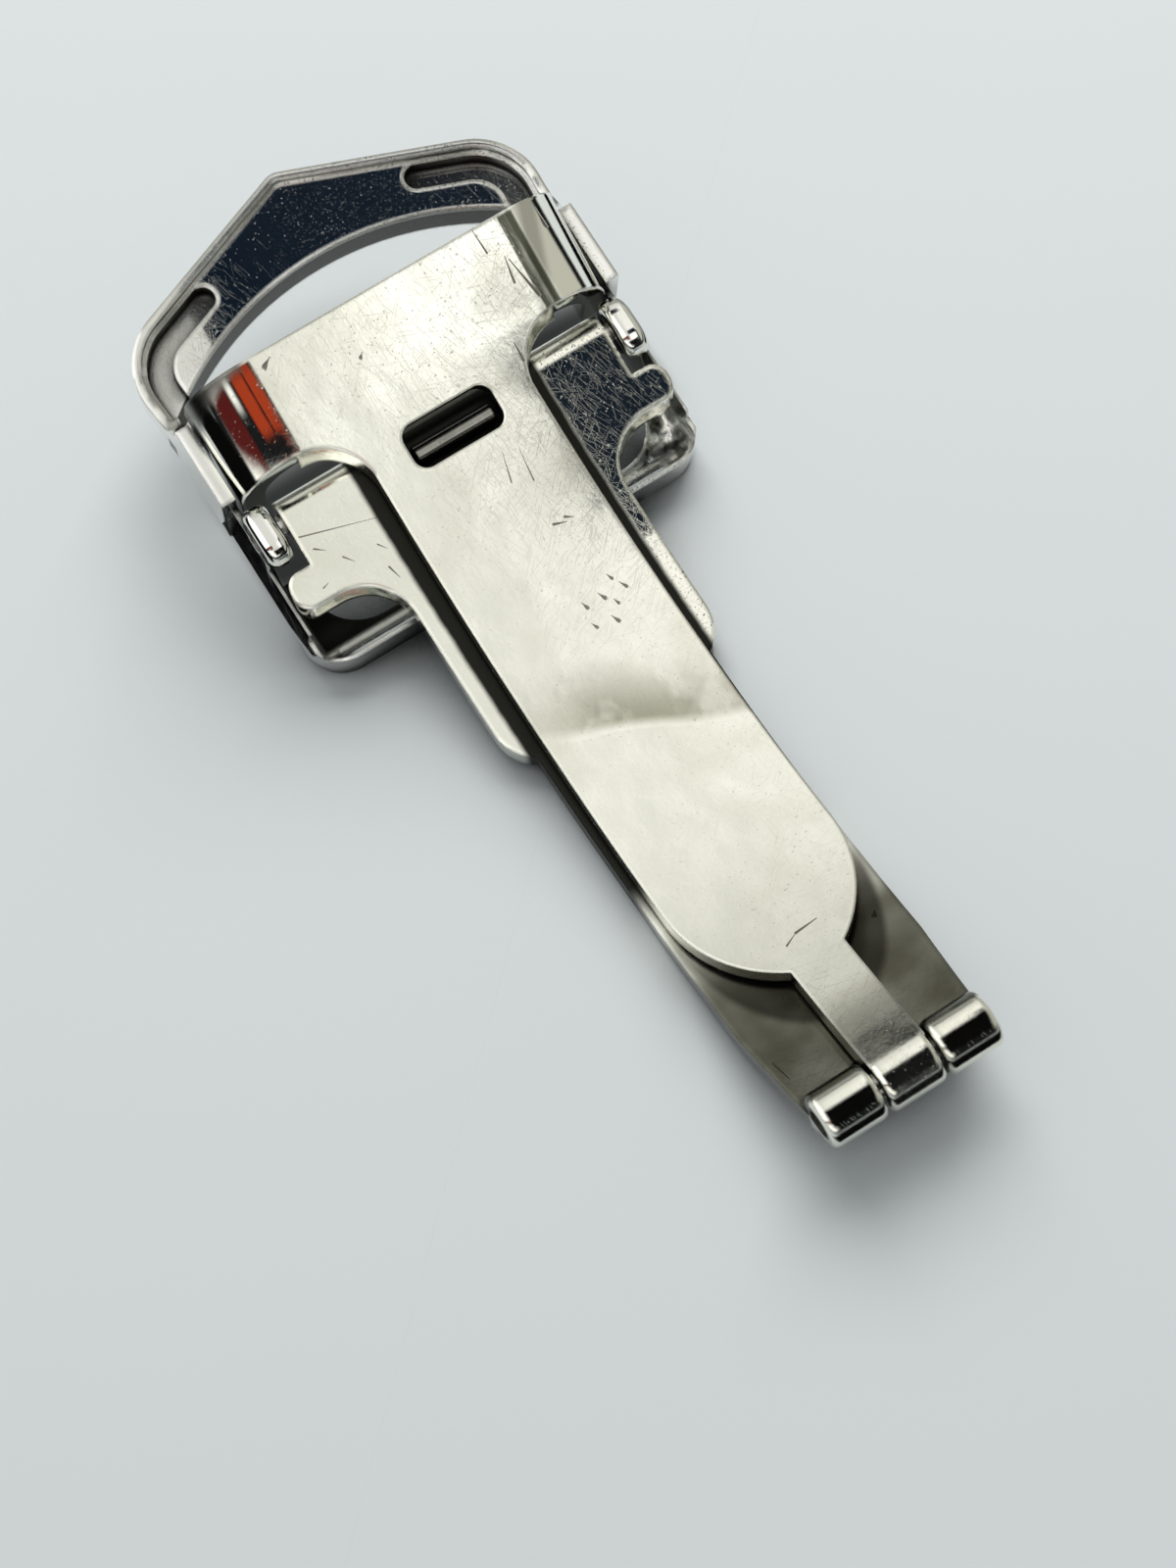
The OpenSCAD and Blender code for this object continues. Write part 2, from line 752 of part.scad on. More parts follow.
module tip(side) {
  color(steel_dark)
    lie()
      on_arc(bar_a, bar_ring)
        scale([side, 1, 1]) {
          across(tip_d / 2, tube_half - crimp_l - flange_l, head_w / 2 - tip_inset);
          across(tube_bore_r - pin_clear, tube_half - crimp_l - pin_clear - flange_l,
            tube_half - crimp_l - pin_clear);
        }
}

module spring_bar_tip_left() {
  tip(-1);
}

module spring_bar_tip_right() {
  tip(1);
}

module spring_bar_coil() {
  half = tube_half - crimp_l - pin_clear - flange_l - cut - wire_d / 2;
  coil_r = tube_bore_r - wire_d / 2 - coil_clear;
  per_mm = 360 * coil_turns / (2 * half);
  wire_points = 8;
  color(steel_dark)
    lie()
      on_arc(bar_a, bar_ring)
        translate([-half, 0, 0])
          rotate([0, 90, 0])
            linear_extrude(2 * half, twist = 360 * coil_turns, slices = coil_turns * 12)
              polygon([for (i = [0:wire_points - 1])
                let (out = coil_r + wire_d / 2 * cos(i * 360 / wire_points),
                  turn = per_mm * wire_d / 2 * sin(i * 360 / wire_points))
                [out * cos(turn), out * sin(turn)]]);
}

inner_blade();
outer_blade();
cover_frame();
hinge_pin();
frame_pin();
catch();
strap_post();
spring_bar_tube();
spring_bar_tip_left();
spring_bar_tip_right();
spring_bar_coil();
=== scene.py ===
# %% [markdown]
# A fold-over clasp for a leather watch strap, closed, lying wrist side up on a pale table. The steel parts come ready
# from the packed model, in metres, so this lesson is about what Blender adds to them: worn polish, scratches, nicks
# and dents, a properly wound coil, and a studio that polished steel can reflect.

# %% The packed model
import math

import bmesh
import bpy
from mathutils import Matrix, Vector


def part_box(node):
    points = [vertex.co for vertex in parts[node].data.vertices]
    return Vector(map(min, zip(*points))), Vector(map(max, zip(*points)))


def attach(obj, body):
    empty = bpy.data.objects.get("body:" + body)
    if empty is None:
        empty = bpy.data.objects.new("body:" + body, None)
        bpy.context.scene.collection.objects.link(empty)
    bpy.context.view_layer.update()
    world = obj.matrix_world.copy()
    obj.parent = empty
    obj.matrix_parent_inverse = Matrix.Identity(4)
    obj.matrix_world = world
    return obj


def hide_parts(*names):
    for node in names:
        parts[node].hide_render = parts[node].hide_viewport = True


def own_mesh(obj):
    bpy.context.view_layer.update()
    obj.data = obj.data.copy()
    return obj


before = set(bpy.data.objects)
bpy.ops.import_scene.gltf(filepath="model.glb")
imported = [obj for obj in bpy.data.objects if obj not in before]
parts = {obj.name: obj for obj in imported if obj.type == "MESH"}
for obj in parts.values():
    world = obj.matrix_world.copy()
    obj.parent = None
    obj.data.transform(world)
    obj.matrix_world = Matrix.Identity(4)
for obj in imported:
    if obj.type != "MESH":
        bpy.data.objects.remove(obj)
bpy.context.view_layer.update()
MM = 0.001

# %% [markdown]
# Polished metal is mostly what it reflects, so the camera comes first: every choice about lamps and dark cards depends
# on where it stands. The clasp was photographed from a hand's width away, a little to the left of the hinge end and
# high up, with a lens of moderate length. The place, the aim and the roll say that in plain numbers.

# %% Camera
CAMERA_PLACE = Vector((-21.34, -63.04, 115.37)) * MM
CAMERA_AIM = Vector((-3.57, -7.04, 4.0)) * MM
CAMERA_ROLL = math.radians(15.78)
LENS_MM = 72.0
NEAREST_SEEN, FARTHEST_SEEN = 0.005, 20.0


def put_in_scene(name, data):
    thing = bpy.data.objects.new(name, data)
    bpy.context.scene.collection.objects.link(thing)
    return thing


def stand_camera(place, aim, roll, lens):
    camera = put_in_scene("photo_camera", bpy.data.cameras.new("photo_camera"))
    camera.data.lens = lens
    camera.data.clip_start, camera.data.clip_end = NEAREST_SEEN, FARTHEST_SEEN
    level = (aim - place).to_track_quat("-Z", "Y").to_matrix().to_4x4()
    camera.matrix_world = Matrix.Translation(place) @ level @ Matrix.Rotation(-roll, 4, "Z")
    bpy.context.scene.camera = camera


stand_camera(CAMERA_PLACE, CAMERA_AIM, CAMERA_ROLL, LENS_MM)
print("camera", round((CAMERA_PLACE - CAMERA_AIM).length / MM), "mm from the clasp")

# %% [markdown]
# A finish is a long sum: a base colour, minus a film of grime, plus a web of hairlines, and so on. Shader nodes can do
# such sums, but wiring each Math node by hand hides the idea. The small class below wraps one output of a node and
# overloads the arithmetic signs, so that a line of Python reads like the sum and adds the nodes by itself.

# %% Shader arithmetic


class Signal:
    """One output of a node, for use in sums."""

    def __init__(self, board, socket):
        self.board, self.socket = board, socket

    def _math(self, operation, a, b, clamp=False):
        return self.board.add("Math", {"operation": operation, "use_clamp": clamp}, {0: a, 1: b})

    def __add__(self, other):
        return self._math("ADD", self, other)

    def __sub__(self, other):
        return self._math("SUBTRACT", self, other)

    def __rsub__(self, other):
        return self._math("SUBTRACT", other, self)

    def __mul__(self, other):
        return self._math("MULTIPLY", self, other)

    def clamped(self):
        return self._math("ADD", self, 0.0, clamp=True)

    def larger(self, other):
        return self._math("MAXIMUM", self, other)

    def size(self):
        return self._math("ABSOLUTE", self, 0.0)

    def ramp(self, low, high, start=0.0, end=1.0):
        """A smooth step from start, where the signal is low, to end, where it is high."""
        settings = {"interpolation_type": "SMOOTHSTEP"}
        return self.board.add("MapRange", settings, {0: self, 1: low, 2: high, 3: start, 4: end})

    __radd__ = __add__


def largest(signals):
    """The largest of several signals, which join one after the other."""
    top = None
    for signal in signals:
        top = signal if top is None else top.larger(signal)
    return top


print("a signal knows", [word for word in vars(Signal) if not word.startswith("_")], "and the signs + - *")

# %% [markdown]
# A board is a node tree that such sums fill. It starts empty, adds a node with its settings and inputs in one call, and
# hands back a signal. A finish is the board of a material: it measures places on the part in millimetres, and knows the
# few textures that worn steel needs.

# %% Boards of nodes


class Board:
    def __init__(self, tree):
        self.tree = tree
        self.tree.nodes.clear()

    def add(self, kind, settings=None, inputs=None, output=0):
        node = self.tree.nodes.new("ShaderNode" + kind)
        for key, value in (settings or {}).items():
            setattr(node, key, value)
        for key, value in (inputs or {}).items():
            if isinstance(value, Signal):
                self.tree.links.new(value.socket, node.inputs[key])
            else:
                node.inputs[key].default_value = value
        return Signal(self, node.outputs[output])

    def moved(self, vector, shift=(0, 0, 0), turn=(0, 0, 0), scale=(1, 1, 1)):
        inputs = {"Vector": vector, "Location": shift, "Rotation": turn, "Scale": scale}
        return self.add("Mapping", {"vector_type": "POINT"}, inputs)

    def parted(self, vector):
        """The x, y and z of a vector, as three number signals."""
        node = self.add("SeparateXYZ", {}, {0: vector}).socket.node
        return [Signal(self, socket) for socket in node.outputs]

    def distance(self, vector, centre):
        return self.add("VectorMath", {"operation": "DISTANCE"}, {0: vector, 1: centre}, output=1)

    def mixed(self, amount, first, second):
        """Two colours or colour signals, mixed by a number signal."""
        settings = {"data_type": "RGBA", "clamp_factor": True}
        return self.add("Mix", settings, {0: amount, 6: first, 7: second}, output=2)

    def shown(self, shader, output_kind="OutputMaterial"):
        self.tree.links.new(shader.socket, self.tree.nodes.new("ShaderNode" + output_kind).inputs["Surface"])


class Finish(Board):
    """A finish on object coordinates in millimetres."""

    def __init__(self, name):
        self.material = bpy.data.materials.new(name)
        self.material.use_nodes = True
        super().__init__(self.material.node_tree)
        self.place = self.moved(self.add("TexCoord", output=3), scale=(1 / MM,) * 3)

    def noise(self, scale, detail=2.0, roughness=0.5, vector=None, distortion=0.0):
        inputs = {"Vector": vector or self.place, "Scale": scale, "Detail": detail}
        inputs.update({"Roughness": roughness, "Distortion": distortion})
        return self.add("TexNoise", {"noise_dimensions": "3D"}, inputs)

    def open_share(self, reach_mm):
        """How much of a place's surroundings is open, from 0 to 1."""
        return self.add("AmbientOcclusion", {"samples": 8}, {"Distance": reach_mm * MM}, output=1)

    def bumped(self, height_mm, normal):
        return self.add("Bump", {}, {"Strength": 1.0, "Distance": MM, "Height": height_mm, "Normal": normal})

    def steel(self, colour, roughness, normal, metallic):
        inputs = {"Base Color": colour, "Roughness": roughness, "Metallic": metallic, "Normal": normal}
        self.shown(self.add("BsdfPrincipled", {}, inputs))
        return self.material


print("boards of nodes:", [kind.__name__ for kind in (Board, Finish)])

# %% [markdown]
# Years of wear leave hairlines: many fine scratches, each nearly straight, in every direction. A noise texture that is
# squeezed hard along one axis gives long parallel streaks, and only its highest peaks are kept, which breaks the
# streaks into single lines. A few layers at different angles cross each other as real hairlines do.

# %% Hairlines
HAIRLINE_LAYERS = 5
STREAKS_PER_MM = 26
STREAK_STRETCH = 0.7
LOWEST_PEAK = 0.71
PEAK_RISE = 0.06


def hairlines(finish, angle, fineness, seed, lean):
    """lean tilts the layer, so that it also crosses upright walls at an angle."""
    turn = (math.radians(lean), math.radians(lean / 2), math.radians(angle))
    turned = finish.moved(finish.place, shift=(seed, seed / 2, 0), turn=turn)
    stretched = finish.moved(turned, scale=(STREAK_STRETCH, fineness, STREAK_STRETCH))
    streak = finish.noise(1.0, detail=0.0, vector=stretched)
    return streak.ramp(LOWEST_PEAK, LOWEST_PEAK + PEAK_RISE)


def hairline_layers(finish, lean):
    """The layers differ in angle, fineness and place, so that no two of them look alike."""
    for number in range(HAIRLINE_LAYERS):
        angle = 17 + 180 * number / HAIRLINE_LAYERS + 11 * (number % 2)
        fineness = STREAKS_PER_MM * (1 + 0.3 * (number % 3))
        yield hairlines(finish, angle, fineness, 7.3 * number + 1, lean)


print("a hairline is at most", round(1000 / STREAKS_PER_MM), "micrometres wide")

# %% [markdown]
# The larger marks are single events: a short nick from a knock, a curved scratch from a tool. Each is drawn as the
# distance to a short line, which is a few sums on the object coordinates, and sinks below the surface as a groove.

# %% Nicks and scratches


def groove(finish, start, end, width):
    """1 in a short scratch between two places seen from above, in mm, and 0 outside it. It tapers to its end."""
    along = Vector(end) - Vector(start)
    length = along.length
    centred = finish.moved(finish.place, shift=(-start[0], -start[1], 0))
    turned = finish.moved(centred, turn=(0, 0, -math.atan2(along.y, along.x)))
    x, y, _ = finish.parted(turned)
    half_width = x.ramp(0.0, length, width / 2, width / 8)
    inside = x.ramp(-width / 2, 0.0) * x.ramp(length, length + width / 2, 1.0, 0.0)
    return inside * (y.size() - half_width).ramp(-width / 5, width / 10, 1.0, 0.0)


def grooves(finish, marks):
    """marks are (start x, start y, end x, end y, width), all in mm."""
    return largest(groove(finish, (x1, y1), (x2, y2), width) for x1, y1, x2, y2, width in marks)


print("grooves are placed in the clasp's own millimetres")

# %% [markdown]
# Two more marks belong to single places. A shallow bend runs across the inner blade like a low wave, as if the clasp
# had once been overbent; its dark reflection is painted into the colour as well. And on the darkest mirrors the
# photograph shows grey-green specks of dried dirt: the peaks of a fine noise, on the right half of the parts only,
# because that half mirrors the dark.

# %% A bend and some specks
BEND_SLANT = 0.42
BEND_OFFSET_MM = 5.55


def old_bend_with_painted_reflection(finish):
    """A shallow bend across the blade, sharp on the spoon's side and soft on the other. Its dark reflection is painted
    into the colour.
    """
    x, y, _ = finish.parted(finish.place)
    wander = (finish.noise(0.16, detail=1.0) - 0.5) * 1.6
    above = y + x * BEND_SLANT + BEND_OFFSET_MM + wander
    fade = finish.noise(0.5, detail=2.0).ramp(0.30, 0.55, 0.5, 1.0)
    return above.ramp(-0.15, 0.5) * above.ramp(0.4, 3.6, 1.0, 0.0) * x.ramp(-4.0, -1.0, 0.35, 1.0) * fade


def dried_specks(finish):
    """On the right half, but not on the outer sides or near the hinge."""
    x, y, _ = finish.parted(finish.place)
    speck = finish.noise(9.0, detail=3.0, roughness=0.65).ramp(0.56, 0.70)
    return speck * x.ramp(-3.0, 3.0) * x.ramp(9.3, 9.5, 1.0, 0.0) * y.ramp(-9.0, -6.0)


print("the bend crosses the middle of the blade at y =", -BEND_OFFSET_MM, "mm")

# %% [markdown]
# The blades are stamped steel that was polished once. Now the polish is satin, warm with skin grease, and full of
# hairlines; the sheet has soft dents, so its reflections wander. One function makes this finish, and its numbers say
# how worn a part is: the inner blade, which rubs on the wrist, more than the outer one. The masks that it takes are
# functions too. Each gets the finish and gives back a signal that is 1 where the mask covers and 0 elsewhere.

# %% Worn steel
# The first colour paints soot and black painted shade alike, the brown one a film and painted shade, the dull one the
# painted dark reflection of a bend.
SOOT_AND_SHADE = (0.012, 0.012, 0.010, 1)
SPECK = (0.085, 0.12, 0.125, 1)
BROWN_FILM_AND_SHADE = (0.095, 0.092, 0.070, 1)
BEND_PAINTED_REFLECTION = (0.38, 0.37, 0.295, 1)
GROOVE_GRIME = (0.10, 0.085, 0.06, 1)
BEND_DEPTH_MM, GROOVE_DEPTH_MM, PIT_DEPTH_MM, HAIRLINE_DEPTH_MM = 0.05, 0.03, 0.004, 0.0004
WALL_LEAN_DEG = 35


def worn_steel(name, colour, grime, polish, scuff, dent_mm, peel_mm, pits, specks=0, marks=(), dirt_and_shade=(), edge_mm=0.12,
               kept=None, bend=None, film_and_shade=None):
    """polish is the roughness of clean steel and scuff what wear adds to it; dent_mm and peel_mm are the depths of
    soft dents and of fine grain; pits and specks say how strong those are. marks go to grooves. dirt_and_shade is a
    row of masks for soot and painted shade. kept masks the places that kept their first polish, bend an old bend whose
    dark reflection is also painted, film_and_shade a brown film and painted shade."""
    finish = Finish(name)
    cloud = finish.noise(0.12, detail=3.0)
    patch = finish.noise(0.45, detail=4.0, distortion=0.4)
    grain = finish.noise(5.5, detail=3.0)
    # Only the inner blade has kept places. It is nearly flat, so its hairlines need no lean.
    web = largest(hairline_layers(finish, 0 if kept else WALL_LEAN_DEG))
    pit = finish.noise(7.0, detail=1.0).ramp(0.69, 0.76)
    film = (cloud * 0.6 + patch * 0.4).ramp(0.42, 0.68)
    roughness = polish + film * scuff + web * (scuff * 1.2) + pit * (0.2 * pits) + (grain - 0.5) * 0.04
    shade = finish.mixed(film * 0.5 + web * 0.12, colour, grime)
    if kept:
        bright = kept(finish)
        roughness = roughness * (1 - bright * 0.75)
        shade = finish.mixed(bright, shade, colour)
    relief = cloud * dent_mm + patch * (dent_mm * 0.12) + grain * peel_mm
    relief = relief - web * HAIRLINE_DEPTH_MM - pit * (PIT_DEPTH_MM * pits)
    # The bend sinks into the surface, and its dark reflection is painted into the colour.
    if bend:
        wave = bend(finish)
        shade = finish.mixed(wave * 0.95, shade, BEND_PAINTED_REFLECTION)
        relief = relief - wave * BEND_DEPTH_MM
    if kept:
        relief = relief * (1 - bright * 0.85)
    metallic = 1.0
    if specks:
        speck = dried_specks(finish)
        shade = finish.mixed(speck, shade, SPECK)
        metallic = 1 - speck * specks
        roughness = roughness + speck * 0.03
    if marks:
        cut = grooves(finish, marks)
        relief = relief - cut * GROOVE_DEPTH_MM
        shade = finish.mixed(cut * 0.8, shade, GROOVE_GRIME)
        roughness = roughness + cut * 0.25
    # A brown film, and brown painted shade and reflection.
    if film_and_shade:
        shade = finish.mixed(film_and_shade(finish), shade, BROWN_FILM_AND_SHADE)
    # Soot, and black painted shade and reflections.
    for mask in dirt_and_shade:
        darkening = mask(finish)
        shade = finish.mixed(darkening, shade, SOOT_AND_SHADE)
        roughness = roughness + darkening * 0.3
    round_edge = finish.add("Bevel", {"samples": 6}, {"Radius": edge_mm * MM})
    normal = finish.bumped(relief, round_edge)
    return finish.steel(shade, roughness.clamped(), normal, metallic)


print("a groove is", round(GROOVE_DEPTH_MM / HAIRLINE_DEPTH_MM), "times as deep as a hairline")

# %% [markdown]
# These masks paint black shade and dark reflections into the colour: in the catch slot, beside the inner blade, round
# the ears and under the hooks. Most of them are plain boxes on the object coordinates, with soft sides. The first
# masks are for the inner blade.

# %% Painted shade on the inner blade
DARKEST_SHARE = 0.99  # how far the darkest painted shade and soot hide the steel
BEND_AXIS = (0.0, -10.49, 40.91)
WRIST_RADIUS = 38.5
SLOT_HALF_WIDTH = 2.25
SLOT_START, SLOT_END = 7.5, 10.0


def between(signal, low, high, soft):
    """1 from low to high and 0 outside, with soft sides."""
    return signal.ramp(low - soft, low) * signal.ramp(high, high + soft, 1.0, 0.0)


def within(signal, reach, soft):
    """1 from -reach to reach."""
    return between(signal.size(), -1, reach, soft)


def depth_in_blade(finish):
    """Depth below the wrist side of the inner blade, which is a part of a cylinder, in mm."""
    sideways = finish.moved(finish.place, scale=(0, 1, 1))
    return finish.distance(sideways, BEND_AXIS) - WRIST_RADIUS


def slot_painted_shade(finish):
    """Painted shade on the walls of the catch slot."""
    x, y, _ = finish.parted(finish.place)
    in_slot = within(x, SLOT_HALF_WIDTH, 0.1) * between(y, SLOT_START, SLOT_END, 0.1)
    return in_slot * depth_in_blade(finish).ramp(0.06, 0.16) * DARKEST_SHARE


def head_bends(finish):
    """The bends of the head, which nothing rubs."""
    x, y, _ = finish.parted(finish.place)
    return x.size().ramp(5.9, 6.5) * y.ramp(9.0, 9.6)


def neck_painted_shade(finish):
    """Brown painted shade: thin at the spoon, thick on the neck, and a painted dark line in the right bend's crease."""
    x, y, _ = finish.parted(finish.place)
    film = y.ramp(-7.0, -18.0) * 0.14 + y.ramp(-19.6, -22.0) * 0.56
    crease = between(x - 6.15 - (y - 11.0) * 0.4, -0.15, 0.2, 0.4) * y.ramp(10.0, 10.6) * 0.45
    return film * y.ramp(-23.9, -23.5) + crease


def left_bend_dark_ends(finish):
    """Dark ends on the left bend of the head."""
    x, y, _ = finish.parted(finish.place)
    ends = y.ramp(13.5, 14.3).larger(y.ramp(10.9, 10.2))
    return ends * between(x, -9.6, -6.6, 0.5) * between(y, 9.4, 20.0, 0.3) * 0.85


print("the slot is", 2 * SLOT_HALF_WIDTH, "by", SLOT_END - SLOT_START, "mm")

# %% [markdown]
# The outer blade gets painted shade and dark reflections where the inner one covers it or runs close beside it, and
# at the hinge end a brown film with a painted dark reflection. The spoon's end is an oval: on coordinates that are
# squeezed to 0.6 of their length it is a circle, so a distance draws the painted shadow along its margin.

# %% Painted shade, film and dirt on the outer blade
SPOON_SQUEEZE = 0.6
SPOON_CENTRE = (0, -8.18, 0)
SPOON_RADIUS = 4.0
HINGE_PIN_AXIS = (0, -24.23, 3.66)


def strip_painted_shade(finish):
    """Painted shade and reflection in the narrow strips beside the inner blade, and painted shade under the slot."""
    x, y, _ = finish.parted(finish.place)
    wander = (finish.noise(1.1, detail=2.0) - 0.5) * 0.10
    beside = between(x.size() + wander, 3.8, 4.45, 0.28) * y.ramp(-13.0, -10.5)
    under = within(x, 2.6, 0.4) * between(y, 6.9, 10.2, 0.5)
    return beside.larger(under) * DARKEST_SHARE


def hinge_film_and_reflection(finish):
    """A brown film and a painted dark reflection, where the spoon covers the blade."""
    _, y, z = finish.parted(finish.place)
    older = finish.noise(0.35, detail=2.0)
    faded = (y + older * 5.0).ramp(-14.6, -9.4, 1.0, 0.0)
    return y.ramp(-23.75, -23.5) * faded * z.ramp(5.6, 5.2) * older.ramp(0.3, 0.7, 0.88, 1.0)


def spoon_painted_shadow(finish):
    """A painted shadow: a dark margin beside the edge of the spoon."""
    flat = finish.moved(finish.place, scale=(1, SPOON_SQUEEZE, 0))
    reach = finish.distance(flat, SPOON_CENTRE)
    return reach.ramp(SPOON_RADIUS, SPOON_RADIUS + 0.35, 0.72, 0.0) * finish.parted(finish.place)[1].ramp(-12.5, -16.0)


def pin_ring_dirt(finish):
    """A black ring round each end of the hinge pin."""
    flat = finish.moved(finish.place, scale=(0, 1, 1))
    reach = finish.distance(flat, HINGE_PIN_AXIS)
    return between(reach, 0.40, 0.66, 0.06) * finish.parted(finish.place)[0].size().ramp(3.6, 3.8) * 0.95


print("the oval of the spoon ends at y =", round((SPOON_CENTRE[1] - SPOON_RADIUS) / SPOON_SQUEEZE, 1), "mm")

# %% [markdown]
# The last masks are for the frame, which leans on its pivot, so they turn the coordinates first. The corner mask also
# serves the outer blade: it asks the Ambient Occlusion node how open a place is, so it finds shut-in corners by itself
# and paints shade and soot there. On the frame it spares the open face of the arch and the right end of the lower bar.

# %% Painted shade in corners and on the frame
PIVOT = Vector((0, 10.04, 5.535))
FRAME_LEAN_DEG = 17.2
ARCH_CENTRE = (0, -3.9, 0)
ARCH_RADIUS = 14.0


def corner_soot_and_shade(reach_mm, least, most, spared=None):
    """Painted shade and soot: black where the open share is below least, none above most. spared is a mask of places
    that get none.
    """

    def mask(finish):
        shut_in = finish.open_share(reach_mm).ramp(least, most, DARKEST_SHARE, 0.0)
        return shut_in * (1 - spared(finish)) if spared else shut_in

    return mask


def on_frame(finish):
    """Places about the pivot of the frame: x across, y along it towards the peak, z towards the wrist, in mm."""
    about_pivot = finish.moved(finish.place, shift=tuple(-c for c in PIVOT))
    return finish.moved(about_pivot, turn=(-math.radians(FRAME_LEAN_DEG), 0, 0))


def trough_painted_reflection(finish):
    """Painted dark reflection in the troughs of the frame, under the finger hooks, more on the left."""
    x, y, _ = finish.parted(on_frame(finish))
    left = between(y, -5.0, -1.6, 0.35) * x.ramp(1.0, -1.0)
    right = between(y, -4.1, -1.6, 0.35) * x.ramp(-1.0, 1.0) * x.ramp(6.0, 6.6, 1.0, 0.0)
    return left.larger(right) * within(x, 9.0, 0.3) * DARKEST_SHARE


def faces_without_shade(finish):
    """The open face of the arch and the right end of the lower bar, where no corner shade is painted."""
    x, y, z = finish.parted(on_frame(finish))
    return (between(z, -2.14, -2.0, 0.05) * y.ramp(3.0, 4.0)).larger(x.ramp(6.0, 6.6) * y.ramp(-2.0, -2.6))


def arch_wall_painted_reflection(finish):
    """Painted dark reflection on the inner wall of the arch, which is a part of a cylinder."""
    place = on_frame(finish)
    reach = finish.distance(finish.moved(place, scale=(1, 1, 0)), ARCH_CENTRE)
    _, y, z = finish.parted(place)
    on_wall = between(reach, ARCH_RADIUS, ARCH_RADIUS + 0.4, 0.08)
    return on_wall * between(z, -3.7, -2.35, 0.12) * y.ramp(3.5, 4.5) * 0.9


print("the frame leans", FRAME_LEAN_DEG, "degrees")

# %% [markdown]
# Each finish is the same function with its own numbers. The blades also get their single marks, listed as the two ends
# and the width: a group of nicks and a few scratches on the inner blade, fine scratches on the left wing of the outer
# one and two near its hinge. A larger edge radius gives the blades and the frame the bright line that polishing leaves
# along an edge.

# %% Finishes of the steel parts
WARM_STEEL = (0.88, 0.88, 0.81, 1)
GREASE = (0.73, 0.72, 0.62, 1)
COOL_STEEL = (0.84, 0.84, 0.82, 1)
COOL_GREASE = (0.7, 0.69, 0.65, 1)
BLADE_MARKS = [
    (0.74, -0.01, 0.66, 0.25, 0.17), (1.59, -0.04, 1.46, 0.24, 0.18), (1.54, -1.13, 1.42, -0.84, 0.18),
    (2.62, -0.08, 2.47, 0.20, 0.15), (0.63, -0.91, 0.53, -0.68, 0.14), (1.95, -0.50, 1.87, -0.28, 0.13),
    (2.28, 0.50, 2.19, 0.73, 0.13), (1.43, 3.56, 1.95, 3.40, 0.10), (2.00, 3.60, 2.31, 3.43, 0.10),
    (0.87, 5.78, 1.20, 6.90, 0.06), (1.72, 5.41, 1.89, 6.71, 0.05), (3.99, 9.38, 4.02, 10.09, 0.12),
    (5.96, 11.12, 5.60, 12.62, 0.13), (4.91, 13.18, 4.81, 14.15, 0.07), (5.31, 11.89, 5.48, 12.78, 0.10),
    (7.74, 13.24, 7.72, 13.86, 0.16), (-1.89, 12.29, -1.75, 12.40, 0.14), (-5.55, 13.58, -5.20, 13.75, 0.20),
    (-0.72, -17.12, -0.13, -16.84, 0.07), (-0.13, -16.84, 0.89, -16.77, 0.10),
]
WING_MARKS = [
    (-7.76, 8.80, -4.56, 7.98, 0.05), (-3.73, -20.72, -3.63, -21.65, 0.12), (3.09, -17.44, 3.20, -17.30, 0.2),
    (-7.49, 8.16, -7.10, 7.90, 0.07), (-6.61, 7.36, -6.30, 7.00, 0.06), (-5.18, 6.15, -5.02, 5.60, 0.07),
    (-6.82, 5.64, -6.50, 5.40, 0.06), (-5.10, 7.11, -4.85, 6.80, 0.05), (-8.00, 6.72, -7.70, 6.80, 0.05),
]
inner_finish = worn_steel(
    "blade_worn", WARM_STEEL, GREASE, polish=0.09, scuff=0.07, dent_mm=0.10, peel_mm=0.0014, pits=0.9,
    marks=BLADE_MARKS, dirt_and_shade=(slot_painted_shade, left_bend_dark_ends), edge_mm=0.22, kept=head_bends, bend=old_bend_with_painted_reflection,
    film_and_shade=neck_painted_shade)
outer_finish = worn_steel(
    "blade_covered", WARM_STEEL, GREASE, polish=0.03, scuff=0.012, dent_mm=0.02, peel_mm=0.0004, pits=0.4, specks=0.36,
    marks=WING_MARKS, dirt_and_shade=(strip_painted_shade, spoon_painted_shadow, pin_ring_dirt, corner_soot_and_shade(0.9, 0.30, 0.62)), edge_mm=0.30,
    film_and_shade=hinge_film_and_reflection)
frame_finish = worn_steel(
    "frame_polished", COOL_STEEL, COOL_GREASE, polish=0.025, scuff=0.01, dent_mm=0.015, peel_mm=0.0003, pits=0.5,
    specks=0.35, dirt_and_shade=(corner_soot_and_shade(2.2, 0.40, 0.72, faces_without_shade), trough_painted_reflection, arch_wall_painted_reflection), edge_mm=0.35)
pin_finish = worn_steel(
    "pin_drawn", (0.70, 0.69, 0.66, 1), (0.45, 0.43, 0.38, 1), polish=0.22, scuff=0.1, dent_mm=0.01, peel_mm=0.001,
    pits=0.3)
catch_finish = worn_steel(
    "catch_rubbed", (0.34, 0.335, 0.31, 1), (0.1, 0.1, 0.09, 1), polish=0.16, scuff=0.05, dent_mm=0.01, peel_mm=0.001,
    pits=0.3)
print("worn steel", inner_finish.name, "uses", len(inner_finish.node_tree.nodes), "nodes")

# %% [markdown]
# The packed solids know nothing of wear. Each gets its finish as its only material; the pins, the post and the pieces
# of the spring bar are drawn steel that nobody polished, and share one.

